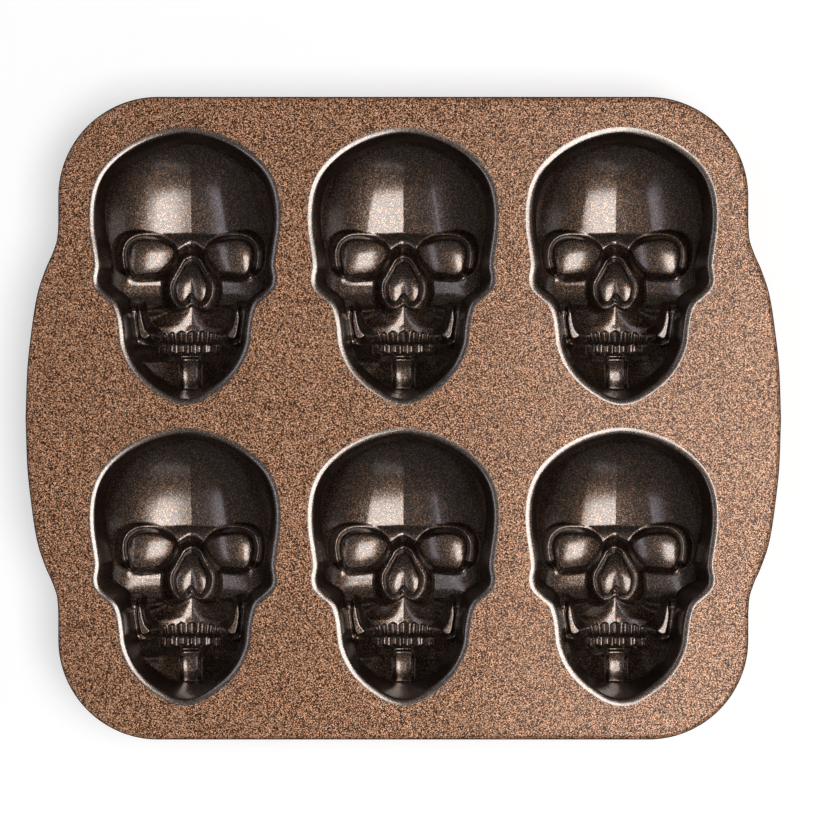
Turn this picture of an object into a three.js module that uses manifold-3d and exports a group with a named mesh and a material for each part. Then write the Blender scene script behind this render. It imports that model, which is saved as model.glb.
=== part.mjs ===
// Cast baking pan with six skull-shaped cavities, in millimetres.
// The pan is one casting in reality. It is modelled as the regions that it is made up of:
// a deck plate, a stiffening rib under its edge, two ear handles and six skull cups.
// Origin: on the surface the cups stand on, under the middle of the pan. +X right, +Y to the crowns, +Z up.

import * as THREE from 'three';
import Module from 'manifold-3d';

// One skull, at the top of its rim
const SKULL_WIDTH = 84.6;
const SKULL_LENGTH = 122.8;
const SKULL_DEPTH = 36;

// Layout of the six skulls on the deck
const COLUMN_NAMES = ['left', 'middle', 'right'];
const ROW_NAMES = ['front', 'back'];
const COLUMNS = COLUMN_NAMES.length;
const ROWS = ROW_NAMES.length;
const WEB_X = 12.15;
const WEB_Y = 10.3;
const SIDE_MARGIN = 13.95;
const BACK_MARGIN = 13.75;
const FRONT_MARGIN = 15.35;
const CORNER_RADIUS = 44.3;

// Walls and roundings of the casting
const DECK_THICKNESS = 3.25;
const CUP_WALL = 3;
const EDGE_ROUNDING = 2.25;
const RIB_WIDTH = 3.5;
const RIB_HEIGHT = 2.5;
const RIB_ROUNDING = 1;
const RIM_ROUNDING = 2.6;
const WALL_DRAFT = THREE.MathUtils.degToRad(7);
const FOOT_WIDTH = 26;
const FOOT_LENGTH = 36;
const FOOT_FLARE = 3;

// A cup takes a collar of the deck with it, so that its seam lies on the flat
const CUP_COLLAR = 4;

// Ear handles. Half of a handle's edge is drawn as share of the half span, share of the reach.
const HANDLE_REACH = 14.5;
const HANDLE_SPAN = 172;
const HANDLE_ROOT = 5;
const HANDLE_EDGE = [
  [0, 1], [0.23, 0.955], [0.465, 0.81], [0.64, 0.64], [0.77, 0.386], [0.855, 0.165], [0.93, 0.03], [1, 0],
];

// The face is drawn in millimetres and stretched to the skull's own size.
// Half outlines from the top down: across, along. The other half mirrors them.
const RIM_HALF = [
  [0, 62.2], [12.7, 60], [23, 55.6], [31, 50], [37, 43.5], [40.6, 36], [42.3, 27], [42.2, 17], [40.9, 8],
  [40.1, 1], [40.9, -4.5], [39.9, -9], [36.2, -13], [32.3, -16.4], [30.5, -21], [29.5, -27], [28.7, -34],
  [26.4, -40.5], [23.2, -46], [18.6, -51.1], [12.8, -55.6], [6.5, -59.2], [0, -60.6],
];
const NOSE_HALF = [
  [0, 6.8], [3.2, 5.4], [5.3, 2], [7.4, -1.6], [9.2, -5.2], [9.3, -9], [8, -13], [5.4, -15.6], [2.4, -15.4],
  [0, -14],
];

// Whole outlines on the right-hand side of the face
const EYE_SOCKET = [
  [5.6, 9.5], [8.5, 14.6], [14, 16.9], [20.5, 17.9], [26.8, 16.2], [30.6, 11.6], [30.6, 4.8], [28.3, -1.2],
  [24.8, -3.7], [19, -3.9], [13.5, -2.9], [9.3, 0.6], [6.4, 4.8],
];
const TEMPLE = [[31.2, 9.5], [33.5, 12], [38, 13], [44, 10], [44, 1], [35.8, 0.3], [32.6, 0.3], [31.2, 3]];
const JAW_BRANCH = [
  [20.4, -17.6], [24.3, -16.4], [30.2, -15.8], [36, -12], [40, -22], [36, -31], [28, -33], [21.6, -32],
  [20, -24],
];
const JAW_SLIT = [
  [22.4, -16.8], [23.3, -20.5], [22.9, -25], [21.4, -30.6], [19.6, -31.2], [16.9, -29.4], [19.1, -26.2],
  [20.3, -22.4],
];
const CHIN_BOX = [[-4.4, -52], [4.4, -52], [4.2, -40.8], [-4.2, -40.8]];

// Centres that the hollows are drawn round
const NOSE_CENTRE = [0, -6];
const EYE_CENTRE = [18.5, 7];
const FOOT_CENTRE = [0, -3];

// Teeth: the gaps between them run through both rows
const TOOTH_GAPS = [-10.6, -6.6, -2.4, 2.4, 6.6, 10.6];
const TOOTH_ENDS = [-36.8, -27];
const GAP_WIDTH = 1.4;
const GAP_HEIGHT = 1.3;

// Facets
const RIM_POINTS = 34;
const SOCKET_POINTS = 14;
const SMALL_POINTS = 8;
const FOOT_POINTS = 14;
const SIDE_POINTS = 11;
const CORNER_POINTS = 8;
const EDGE_ANGLES = [0, 45, 90].map(THREE.MathUtils.degToRad);

// Faces that two regions share lie on a fine grid, so that they meet exactly
const GRID = 128;
const onGrid = (x) => Math.round(x * GRID) / GRID;
const TOP = onGrid(SKULL_DEPTH + CUP_WALL);
const DECK_UNDERSIDE = onGrid(TOP - DECK_THICKNESS);
const PITCH_X = onGrid(SKULL_WIDTH + WEB_X);
const PITCH_Y = onGrid(SKULL_LENGTH + WEB_Y);
const BODY_WIDTH = COLUMNS * SKULL_WIDTH + (COLUMNS - 1) * WEB_X + 2 * SIDE_MARGIN;
const BODY_LENGTH = ROWS * SKULL_LENGTH + (ROWS - 1) * WEB_Y + BACK_MARGIN + FRONT_MARGIN;
const HANDLE_SEAM = onGrid(BODY_WIDTH / 2 + HANDLE_ROOT);

// Depths along the face: where the bridge of the nose stands, it is the deepest place of all
const BRIDGE = [[15.5, 29.4], [13.4, 31.2], [10, 34.3], [6.8, 36]];

const drawnWidth = 2 * Math.max(...RIM_HALF.map(([x]) => x));
const drawnLength = RIM_HALF[0][1] - RIM_HALF.at(-1)[1];
const drawnDepth = Math.max(...BRIDGE.map(([, depth]) => depth));
const STRETCH = [SKULL_WIDTH / drawnWidth, SKULL_LENGTH / drawnLength, SKULL_DEPTH / drawnDepth];
const CROWN = RIM_HALF[0][1] * STRETCH[1];
const real = (outline) => outline.map(([u, v]) => [u * STRETCH[0], v * STRETCH[1]]);
const deep = (depth) => depth * STRETCH[2];

// Plane outlines: lists of [x, y], all running anticlockwise
const mirrored = (half) => [...half, ...half.slice(1, -1).reverse().map(([x, y]) => [-x, y])];
const between = (from, to, share) => from.map(([x, y], i) => [
  x + (to[i][0] - x) * share,
  y + (to[i][1] - y) * share,
]);
const shrunk = (outline, centre, share) => between(outline.map(() => centre), outline, share);
const gridded = (outline) => outline.map(([x, y]) => [onGrid(x), onGrid(y)]);
const ellipse = ([cx, cy], halfWidth, halfLength, count) => Array.from({ length: count }, (_, i) => {
  const angle = (i / count) * 2 * Math.PI;
  return [cx + halfWidth * Math.cos(angle), cy + halfLength * Math.sin(angle)];
});

function anticlockwise(outline) {
  const area = THREE.ShapeUtils.area(outline.map(([x, y]) => new THREE.Vector2(x, y)));
  return area > 0 ? outline : [...outline].reverse();
}

function smooth(points, count) {
  const curve = new THREE.CatmullRomCurve3(points.map(([x, y]) => new THREE.Vector3(x, y, 0)), true);
  return anticlockwise(curve.getSpacedPoints(count).slice(0, count).map(({ x, y }) => [x, y]));
}

// Moves each point along the outline's own normal, outwards for a positive distance
function offset(outline, distance) {
  const count = outline.length;
  return outline.map(([x, y], i) => {
    const before = outline[(i + count - 1) % count];
    const after = outline[(i + 1) % count];
    const way = new THREE.Vector2(after[0] - before[0], after[1] - before[1]).normalize();
    return [x + way.y * distance, y - way.x * distance];
  });
}

// Where the rays from a centre through the points of one outline meet another outline
function castOnto(outline, [cx, cy], through) {
  return through.map(([x, y]) => {
    for (let i = 0; i < outline.length; i += 1) {
      const [ax, ay] = outline[i];
      const [bx, by] = outline[(i + 1) % outline.length];
      const cross = (x - cx) * (by - ay) - (y - cy) * (bx - ax);
      const far = ((ax - cx) * (by - ay) - (ay - cy) * (bx - ax)) / cross;
      const share = ((ax - cx) * (y - cy) - (ay - cy) * (x - cx)) / cross;
      if (far > 0 && share >= 0 && share < 1) return [cx + (x - cx) * far, cy + (y - cy) * far];
    }
    return [cx, cy];
  });
}

// How far a place lies outside an outline
function outside([x, y], outline) {
  let inside = false;
  let nearest = Infinity;
  outline.forEach(([ax, ay], i) => {
    const [bx, by] = outline[(i + 1) % outline.length];
    const share = ((x - ax) * (bx - ax) + (y - ay) * (by - ay)) / ((bx - ax) ** 2 + (by - ay) ** 2);
    const held = THREE.MathUtils.clamp(share, 0, 1);
    nearest = Math.min(nearest, Math.hypot(x - ax - held * (bx - ax), y - ay - held * (by - ay)));
    if (ay > y !== by > y && x < ax + ((y - ay) * (bx - ax)) / (by - ay)) inside = !inside;
  });
  return inside ? 0 : nearest;
}

// The lesser and the greater of two depths, blended where they cross
const lesser = (a, b, blend) => Math.min(a, b) - Math.max(blend - Math.abs(a - b), 0) ** 2 / (4 * blend);
const greater = (a, b, blend) => -lesser(-a, -b, blend);
const roof = (x, round) => Math.hypot(x, round) - round;

// A value that runs straight between stations, listed from the crown to the chin
function run(v, stations) {
  const next = stations.findIndex(([place]) => v > place);
  if (next === 0) return stations[0][1];
  if (next < 0) return stations[stations.length - 1][1];
  const [[v0, value0], [v1, value1]] = [stations[next - 1], stations[next]];
  return value0 + ((value1 - value0) * (v0 - v)) / (v0 - v1);
}

// Depth of the head below the deck without its hollows, across u and along v on the drawn face
const BROW = [[25, 32], [19, 32.4], [13, 30.4], [-12, 30.2], [-17, 29]];
const MIDDLE = [
  [-4, 33.8], [-14, 34.6], [-20, 33], [-26, 31.9], [-33, 30.8], [-38, 29.2], [-47, 28.3], [-54, 27.2],
];
const MIDDLE_ROUND = [[-4, 3], [-14, 0.8], [-20, 2], [-26, 12], [-36, 12], [-42, 4]];
const MIDDLE_SLOPE = [[-4, 0.9], [-14, 0.62], [-20, 0.55], [-28, 0.82], [-36, 0.82], [-46, 0.62]];
const DOME = { depth: 32.2, halfWidth: 43.4, halfLength: 50.2, centre: 13, power: 2.2 };
const CHEEK = { flat: 11, halfWidth: 30.2, power: 2.6 };
const DOME_FOOT = [16, 20.5];
const CHEEK_FOOT = [-19, -15];
const MIDDLE_TOP = -6;
const BRIDGE_TOP = 16;
const BRIDGE_ROUND = 1.6;
const BRIDGE_SLOPES = { across: 1.5, down: 2.5, up: 3 };
const SOCKET_FRAME = 29.2;
const FRAME_SLOPE = 1.5;
const FORM_BLEND = 1.2;

function headDepth(u, v) {
  const { lerp, smoothstep } = THREE.MathUtils;
  const side = Math.abs(u);
  const up = Math.max(v - DOME.centre, 0);
  const reach = (side / DOME.halfWidth) ** DOME.power + (up / DOME.halfLength) ** DOME.power;
  const dome = DOME.depth * Math.sqrt(Math.max(1 - reach, 0));
  const turn = (Math.max(side - CHEEK.flat, 0) / CHEEK.halfWidth) ** CHEEK.power;
  const cheek = run(v, BROW) * Math.sqrt(Math.max(1 - turn, 0));
  const upper = lerp(cheek, dome, smoothstep(v, ...DOME_FOOT));
  const crest = run(v, MIDDLE) - run(v, MIDDLE_SLOPE) * roof(u, run(v, MIDDLE_ROUND));
  const middle = crest - FRAME_SLOPE * Math.max(v - MIDDLE_TOP, 0);
  const face = lerp(Math.min(upper, middle), upper, smoothstep(v, ...CHEEK_FOOT));
  const bridge = run(v, BRIDGE) - BRIDGE_SLOPES.across * roof(u, BRIDGE_ROUND)
    - BRIDGE_SLOPES.down * Math.max(-v, 0) - BRIDGE_SLOPES.up * Math.max(v - BRIDGE_TOP, 0);
  const frame = SOCKET_FRAME - FRAME_SLOPE * outside([side, v], EYE_SOCKET);
  return [middle, bridge, frame].reduce((depth, form) => greater(depth, form, FORM_BLEND), face);
}

// Depth of the wall at a distance in from the rim: a quarter round, then a drafted straight
const filletFoot = RIM_ROUNDING * Math.cos(WALL_DRAFT);
function wallDepth(distance) {
  const fillet = RIM_ROUNDING - Math.sqrt(RIM_ROUNDING ** 2 - Math.min(distance, filletFoot) ** 2);
  return fillet + Math.max(distance - filletFoot, 0) / Math.tan(WALL_DRAFT);
}

const headAt = ([x, y]) => deep(headDepth(x / STRETCH[0], y / STRETCH[1]));
const atHeight = (outline, z) => outline.map(([x, y]) => [x, y, z]);
const onFace = (outline, depthOf) => outline.map((place) => [...place, TOP - depthOf(place)]);

// A closed solid through rings of [x, y, z], from the lowest up, with as many points each
function skin(rings) {
  const count = rings[0].length;
  const faces = [];
  for (let start = 0; start < (rings.length - 1) * count; start += count) {
    for (let j = 0; j < count; j += 1) {
      const a = start + j;
      const b = start + ((j + 1) % count);
      faces.push(a, b, b + count, a, b + count, a + count);
    }
  }
  const last = (rings.length - 1) * count;
  const flat = (ring) => ring.map(([x, y]) => new THREE.Vector2(x, y));
  const lowLid = THREE.ShapeUtils.triangulateShape(flat(rings[0]), []);
  const highLid = THREE.ShapeUtils.triangulateShape(flat(rings.at(-1)), []);
  lowLid.forEach(([a, b, c]) => faces.push(a, c, b));
  highLid.forEach(([a, b, c]) => faces.push(last + a, last + b, last + c));
  const geometry = new THREE.BufferGeometry();
  geometry.setAttribute('position', new THREE.Float32BufferAttribute(rings.flat(2), 3));
  geometry.setIndex(faces);
  return geometry;
}

const wasm = await Module();
wasm.setup();

function solid(geometry) {
  const vertProperties = new Float32Array(geometry.getAttribute('position').array);
  const triVerts = new Uint32Array(geometry.getIndex().array);
  return new wasm.Manifold(new wasm.Mesh({ numProp: 3, vertProperties, triVerts }));
}

function geometryOf(shape) {
  const mesh = shape.getMesh();
  const geometry = new THREE.BufferGeometry();
  geometry.setAttribute('position', new THREE.BufferAttribute(mesh.vertProperties, 3));
  geometry.setIndex(new THREE.BufferAttribute(mesh.triVerts, 1));
  return geometry;
}

const block = (outline, low, high) => solid(skin([atHeight(outline, low), atHeight(outline, high)]));

// Outlines of one cup at its real size
const centre = real([NOSE_CENTRE])[0];
const rim = real(smooth(mirrored(RIM_HALF), RIM_POINTS));
const noseSide = real(smooth(mirrored(NOSE_HALF), SOCKET_POINTS));
const nose = castOnto(noseSide, centre, rim);
const collar = gridded(offset(rim, CUP_COLLAR));

// The cavity: the head without its hollows, from the nose out to the wall, the wall and its rounded rim
const WALL_FOOT = 5.6;
const WALL_BLEND = 6;
const LIP_DEPTH = 34.7;
const LIP_SLOPE = 0.85;
const FACE_SHARES = [0, 0.16, 0.42, 0.74];
const FILLET_SHARES = [1, 0.7];
const wallFoot = offset(rim, -WALL_FOOT);
const OVERLAP = 1;

function faceRing(share) {
  return between(nose, wallFoot, share).map((place, i) => {
    const away = Math.hypot(place[0] - nose[i][0], place[1] - nose[i][1]);
    return [...place, TOP - greater(headAt(place), deep(LIP_DEPTH) - LIP_SLOPE * away, 1)];
  });
}

function wallRing(distance) {
  const wall = wallDepth(distance);
  const blend = Math.min(Math.max(wall, 0.01), WALL_BLEND);
  return onFace(offset(rim, -distance), (place) => lesser(wall, headAt(place), blend));
}

const faceRings = FACE_SHARES.map(faceRing);
const innerRings = [...faceRings, wallRing(WALL_FOOT)];
const cavity = solid(skin([
  atHeight(shrunk(nose, centre, 0.4), TOP - deep(LIP_DEPTH)),
  ...innerRings,
  ...FILLET_SHARES.map((share) => wallRing(filletFoot * share)),
  atHeight(rim, TOP),
  atHeight(rim, TOP + OVERLAP),
]));

// The outside of the cup follows the cavity one wall lower, and ends in an oval foot
function lowered([x, y, z]) {
  const slopeX = headAt([x + 1, y]) - headAt([x - 1, y]);
  const slopeY = headAt([x, y + 1]) - headAt([x, y - 1]);
  const shift = CUP_WALL / Math.hypot(slopeX / 2, slopeY / 2, 1);
  return [x - (slopeX / 2) * shift, y - (slopeY / 2) * shift, Math.max(z - shift, 0)];
}

const BEND_WALL = 0.85 * CUP_WALL;
const shellRings = [0, 2, 3].map((i) => faceRings[i].map(lowered));
const shell = solid(skin([
  atHeight(shrunk(nose, centre, 0.4), TOP - deep(LIP_DEPTH) - CUP_WALL),
  ...shellRings,
  offset(rim, CUP_WALL - WALL_FOOT).map((place, i) => [...place, innerRings.at(-1)[i][2] - BEND_WALL]),
  atHeight(offset(rim, CUP_WALL - filletFoot), TOP - DECK_THICKNESS - RIM_ROUNDING),
  atHeight(offset(rim, CUP_COLLAR - RIM_ROUNDING / 4), DECK_UNDERSIDE + OVERLAP),
]));
const footHigh = deep(drawnDepth - LIP_DEPTH) + FOOT_FLARE;
const footEdge = ellipse(real([FOOT_CENTRE])[0], FOOT_WIDTH / 2, FOOT_LENGTH / 2, FOOT_POINTS);
const foot = solid(skin([
  atHeight(footEdge, 0),
  atHeight(offset(footEdge, FOOT_FLARE), footHigh),
]));
const body = block(collar, DECK_UNDERSIDE, TOP).add(shell).add(foot.subtract(cavity));

// A boss stands on the cavity's floor: its outline at the top, with flanks that spread down below the floor
const ROOTED = 1.5;
function boss(outline, topDepth, flankSlope) {
  const low = Math.max(...outline.map(headAt)) + ROOTED;
  return solid(skin([
    atHeight(offset(outline, (low - topDepth) / flankSlope), TOP - low),
    atHeight(outline, TOP - topDepth),
  ]));
}

// The flank of a boss whose outline is drawn where it meets the floor, carried down below the floor
function sunk(outline, flankSlope) {
  const low = Math.max(...outline.map(headAt)) + ROOTED;
  return offset(outline, 1).map(([x, y], i) => {
    const [ox, oy] = outline[i];
    const spread = (low - headAt([ox, oy])) / flankSlope;
    return [ox + (x - ox) * spread, oy + (y - oy) * spread, TOP - low];
  });
}

// The ball of an eye socket leans outwards. A dimple under it keeps the wall even.
const EYE_BALL = { radius: 25, top: 21.6, apex: [23.5, 9.5] };
const eyeOutline = real(smooth(EYE_SOCKET, SOCKET_POINTS));
const eyeCentre = real([EYE_CENTRE])[0];
const eyeApex = real([EYE_BALL.apex])[0];

function eyeDepth([x, y]) {
  const away = Math.hypot(x - eyeApex[0], y - eyeApex[1]);
  return deep(EYE_BALL.top) + EYE_BALL.radius - Math.sqrt(EYE_BALL.radius ** 2 - away ** 2);
}

const eyeBall = solid(skin([
  sunk(eyeOutline, 2),
  onFace(shrunk(eyeOutline, eyeCentre, 0.76), (place) => eyeDepth(place) + 1),
  ...[0.66, 0.3].map((share) => onFace(shrunk(eyeOutline, eyeCentre, share), eyeDepth)),
]));
const eyeDimple = solid(skin([
  atHeight(shrunk(eyeOutline, eyeCentre, 0.7), 0),
  onFace(shrunk(eyeOutline, eyeCentre, 0.45), (place) => eyeDepth(place) + CUP_WALL),
]));

// The nose opening holds two lobes side by side
const NOSE_FLOOR = 28.2;
const LOBE = { apart: 2.9, along: 1.9, size: 9 };
function noseDepth([x, y]) {
  const across = Math.abs(x) / STRETCH[0] - LOBE.apart;
  const lengthwise = (y - centre[1]) / STRETCH[1] / LOBE.along;
  return deep(NOSE_FLOOR + (across ** 2 + lengthwise ** 2) / LOBE.size);
}
const noseBoss = solid(skin([
  atHeight(offset(noseSide, ROOTED / 2), TOP - deep(LIP_DEPTH) - ROOTED),
  onFace(shrunk(noseSide, centre, 0.72), (place) => noseDepth(place) + 1),
  ...[0.64, 0.3].map((share) => onFace(shrunk(noseSide, centre, share), noseDepth)),
]));

// Hollows on the side of the head, and the slit between jaw and teeth
const TEMPLE_DEPTH = 19;
const BRANCH_DEPTH = 19.5;
const SLIT_DEPTH = 16.6;
const temple = boss(real(smooth(TEMPLE, SMALL_POINTS)), deep(TEMPLE_DEPTH), 1.8);
const branch = boss(anticlockwise(real(JAW_BRANCH)), deep(BRANCH_DEPTH), 2.4);
const slit = boss(real(smooth(JAW_SLIT, SMALL_POINTS)), deep(SLIT_DEPTH), 3.4);

// Thin bars stand between the teeth
function toothGap(u) {
  const [low, high] = TOOTH_ENDS;
  const half = GAP_WIDTH / 2;
  const outline = real([[u - half, low], [u + half, low], [u + half, high], [u - half, high]]);
  const narrow = real([[u - half / 4, low], [u + half / 4, low], [u + half / 4, high], [u - half / 4, high]]);
  return solid(skin([
    onFace(outline, (place) => headAt(place) + ROOTED),
    onFace(narrow, (place) => headAt(place) - GAP_HEIGHT),
  ]));
}
const teeth = TOOTH_GAPS.map(toothGap);

// The chin is cut a little deeper, with a flat front
const CHIN_RISE = 0.4;
const CHIN_CUT = 5;
const chin = solid(skin([
  onFace(real(CHIN_BOX), ([, y]) => headAt([0, y]) + CHIN_RISE),
  onFace(real(CHIN_BOX), ([, y]) => headAt([0, y]) - CHIN_CUT),
]));

const mirroredSolid = (shape) => shape.mirror([1, 0, 0]);
const pair = (shape) => [shape, mirroredSolid(shape)];
const raised = [noseBoss, ...[eyeBall, temple, branch, slit].flatMap(pair), ...teeth];
const hollow = raised.reduce((space, shape) => space.subtract(shape), cavity.add(chin));
const cup = pair(eyeDimple).reduce((rest, shape) => rest.subtract(shape), body.subtract(hollow));

// The deck, its handles and its rib share one edge line
function handleReach(y) {
  const share = Math.abs(y) / (HANDLE_SPAN / 2);
  const next = HANDLE_EDGE.findIndex(([place]) => place >= share);
  if (next <= 0) return next < 0 ? 0 : HANDLE_REACH;
  const [[p0, r0], [p1, r1]] = [HANDLE_EDGE[next - 1], HANDLE_EDGE[next]];
  return HANDLE_REACH * (r0 + ((r1 - r0) * (share - p0)) / (p1 - p0));
}

function panEdge() {
  const side = Array.from({ length: 2 * SIDE_POINTS + 1 }, (_, i) => {
    const y = (HANDLE_SPAN / 2) * (i / SIDE_POINTS - 1);
    return [BODY_WIDTH / 2 + handleReach(y), y];
  });
  const corner = Array.from({ length: CORNER_POINTS + 1 }, (_, i) => {
    const angle = (i / CORNER_POINTS) * (Math.PI / 2);
    return [
      BODY_WIDTH / 2 - CORNER_RADIUS * (1 - Math.cos(angle)),
      BODY_LENGTH / 2 - CORNER_RADIUS * (1 - Math.sin(angle)),
    ];
  });
  const rightHalf = [...corner.map(([x, y]) => [x, -y]).reverse(), ...side, ...corner];
  return [...rightHalf, ...rightHalf.map(([x, y]) => [-x, -y])];
}

const edge = panEdge();
const plate = solid(skin([
  atHeight(edge, DECK_UNDERSIDE),
  ...EDGE_ANGLES.map((angle) => {
    const inset = EDGE_ROUNDING * (1 - Math.cos(angle));
    return atHeight(offset(edge, -inset), TOP - EDGE_ROUNDING * (1 - Math.sin(angle)));
  }),
]));
const ribInside = offset(edge, -RIB_WIDTH);
const rib = solid(skin([
  atHeight(offset(edge, -RIB_ROUNDING), DECK_UNDERSIDE - RIB_HEIGHT),
  atHeight(edge, DECK_UNDERSIDE - RIB_HEIGHT + RIB_ROUNDING),
  atHeight(edge, DECK_UNDERSIDE),
])).subtract(block(ribInside, DECK_UNDERSIDE - RIB_HEIGHT - OVERLAP, DECK_UNDERSIDE + OVERLAP));

const far = BODY_WIDTH;
const seamBox = [[HANDLE_SEAM, -far], [far, -far], [far, far], [HANDLE_SEAM, far]];
const pastSeam = block(seamBox, DECK_UNDERSIDE - OVERLAP, TOP + OVERLAP);
const handle = plate.intersect(pastSeam);

// Where the cups sit. The middle between crown and chin lies on the middle of each row.
const rowShift = (BACK_MARGIN - FRONT_MARGIN) / 2;
const cupPlaces = ROW_NAMES.flatMap((rowName, row) => COLUMN_NAMES.map((columnName, column) => ({
  name: `skull_cup_${rowName}_${columnName}`,
  x: (column - (COLUMNS - 1) / 2) * PITCH_X,
  y: onGrid(SKULL_LENGTH / 2 - CROWN - rowShift) + (row - (ROWS - 1) / 2) * PITCH_Y,
})));
const collarBlock = block(collar, DECK_UNDERSIDE - OVERLAP, TOP + OVERLAP);
const seats = cupPlaces.map(({ x, y }) => collarBlock.translate([x, y, 0]));
const deck = [...pair(pastSeam), ...seats].reduce((rest, shape) => rest.subtract(shape), plate);

// Finish: a bronze-brown coating with a fine metallic grain, darker in the cups
const deckFinish = { color: 0x8a6248, roughness: 0.42, metalness: 0.85 };
const cupFinish = { color: 0x5b4032, roughness: 0.3, metalness: 0.85 };

function piece(name, shape, finish, x = 0, y = 0) {
  const mesh = new THREE.Mesh(geometryOf(shape), new THREE.MeshStandardMaterial(finish));
  mesh.name = name;
  mesh.position.set(x, y, 0);
  return mesh;
}

const pan = new THREE.Group();
pan.add(
  piece('deck_plate', deck, deckFinish),
  piece('edge_rib', rib, deckFinish),
  piece('handle_right', handle, deckFinish),
  piece('handle_left', mirroredSolid(handle), deckFinish),
  ...cupPlaces.map(({ name, x, y }) => piece(name, cup, cupFinish, x, y)),
);

export default pan;
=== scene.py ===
# Looks of the cast skull cake pan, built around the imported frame.
# Shapes are worked out in millimetres and written to the meshes in metres.
# In a skull, u runs across to the right and v along the face to the crown, from near the top of the nose.
# s is the distance from the middle line, and depth is measured down from the deck.

import math

import bmesh
import bpy
import numpy as np
from mathutils import Matrix, Vector
from mathutils.geometry import delaunay_2d_cdt


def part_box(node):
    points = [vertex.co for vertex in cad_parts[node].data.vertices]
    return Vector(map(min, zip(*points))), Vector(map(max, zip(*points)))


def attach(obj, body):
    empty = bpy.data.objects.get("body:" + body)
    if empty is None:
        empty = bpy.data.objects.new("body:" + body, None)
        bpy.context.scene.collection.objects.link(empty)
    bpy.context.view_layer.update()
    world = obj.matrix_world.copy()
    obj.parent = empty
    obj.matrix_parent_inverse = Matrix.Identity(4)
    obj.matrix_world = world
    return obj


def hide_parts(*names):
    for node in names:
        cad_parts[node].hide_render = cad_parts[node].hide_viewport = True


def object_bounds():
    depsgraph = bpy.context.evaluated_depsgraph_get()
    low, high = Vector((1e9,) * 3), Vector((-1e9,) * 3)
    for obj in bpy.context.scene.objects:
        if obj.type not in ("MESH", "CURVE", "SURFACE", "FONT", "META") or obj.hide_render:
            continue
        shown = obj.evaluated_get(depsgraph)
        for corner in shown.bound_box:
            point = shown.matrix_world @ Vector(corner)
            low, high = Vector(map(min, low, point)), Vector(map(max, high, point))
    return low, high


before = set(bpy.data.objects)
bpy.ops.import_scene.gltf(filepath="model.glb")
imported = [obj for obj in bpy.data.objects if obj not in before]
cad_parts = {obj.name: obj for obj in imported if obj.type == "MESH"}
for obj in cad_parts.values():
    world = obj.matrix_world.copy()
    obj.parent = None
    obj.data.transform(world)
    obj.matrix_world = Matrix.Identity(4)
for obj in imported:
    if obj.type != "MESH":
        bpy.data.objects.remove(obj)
cad_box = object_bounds()
MM = 0.001

# Sizes that the frame gives
deck_low, deck_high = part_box("deck_plate")
pan_low, pan_high = cad_box
TOP = deck_high[2] / MM
UNDERSIDE = deck_low[2] / MM
PAN_WIDTH = (pan_high[0] - pan_low[0]) / MM
PAN_LENGTH = (pan_high[1] - pan_low[1]) / MM
RIB_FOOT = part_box("edge_rib")[0][2] / MM
HANDLE_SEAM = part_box("handle_right")[0][0] / MM
CUP_NODES = [
    f"skull_cup_{row}_{column}" for row in ("front", "back") for column in ("left", "middle", "right")]

# Pan: corners, handles, edge and rib
CORNER_RADIUS = 44.3
CORNER_STEPS = 33
HANDLE_REACH = 14.5
HANDLE_SPAN = 172
HANDLE_STEPS = 121
HANDLE_EDGE = [
    (0, 1), (0.23, 0.955), (0.465, 0.81), (0.64, 0.64), (0.77, 0.386), (0.855, 0.165), (0.93, 0.03), (1, 0),
]
EDGE_ROUNDING = 2.25
EDGE_ANGLES = np.radians([0, 15, 30, 45, 60, 75, 90])
FLAT_MARGIN = 0.8
LOW_MARGIN = 1.0
RIB_WIDTH = 3.5
RIB_ROUNDING = 1.0
RIB_ANGLES = np.radians([0, 22.5, 45, 67.5, 90])

# Bands of the plate's edge, counted up from the underside, that carry a painted shade line: near-black
# flakes standing in for the shade along the rounded edge, not a coating of their own
SHADE_LINE_BANDS = (1, 2, 3)

# Cup: wall, rim, underside and foot
RIM_START = 0.2
RIM_ROLL = 2.2
RIM_TILT = math.radians(20)
RIM_ROUNDING = 1.0
WALL_DRAFT = math.radians(7)
FACE_BLEND = 6
CUP_COLLAR = 4
CUP_WALL = 2.3
SHELL_ROOT = CUP_WALL + 0.3
SHELL_BLEND = 5
SHELL_SOFTENING = 2.2
SHELL_WIDENING = 3
SHELL_HALF_WIDTH = 50
SHELL_HALF_LENGTH = 70
FOOT_CENTRE = (0, -3)
FOOT_SIZE = (13, 18)
FOOT_EXTRA = 0.8
FOOT_FLARE = 1.3
FOOT_BLEND = 1.5
FOOT_EDGE = 0.8

# Mesh of a cup: the first rings of its top side and of its underside, as distances in from the rim's outline
SPOKES = 480
HUB = np.array([0.0, -14.0])
FACE_RINGS = 140
SHELL_RINGS = 34
INNER_INSETS = [
    -CUP_COLLAR, -2, -1, -RIM_START, 0, 0.2, 0.5, 0.8, 1.1, 1.4, 1.65, 1.85, 2.0, 2.15, 2.27, 2.37, 2.45,
    2.54, 2.69, 2.9, 3.2,
]
OUTER_INSETS = [-CUP_COLLAR, -3.4, -2.7, -2.5, -2.2, -1.6, -0.8, 0, 0.6, 1.2, 2]

# Finishes of a cup: the first bands from the collar's seam have the deck's, the next ones the rim's
CUP, DECK, RIM_FINISH = 0, 1, 2
COLLAR_BANDS = 3
RIM_BANDS = 15

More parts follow.
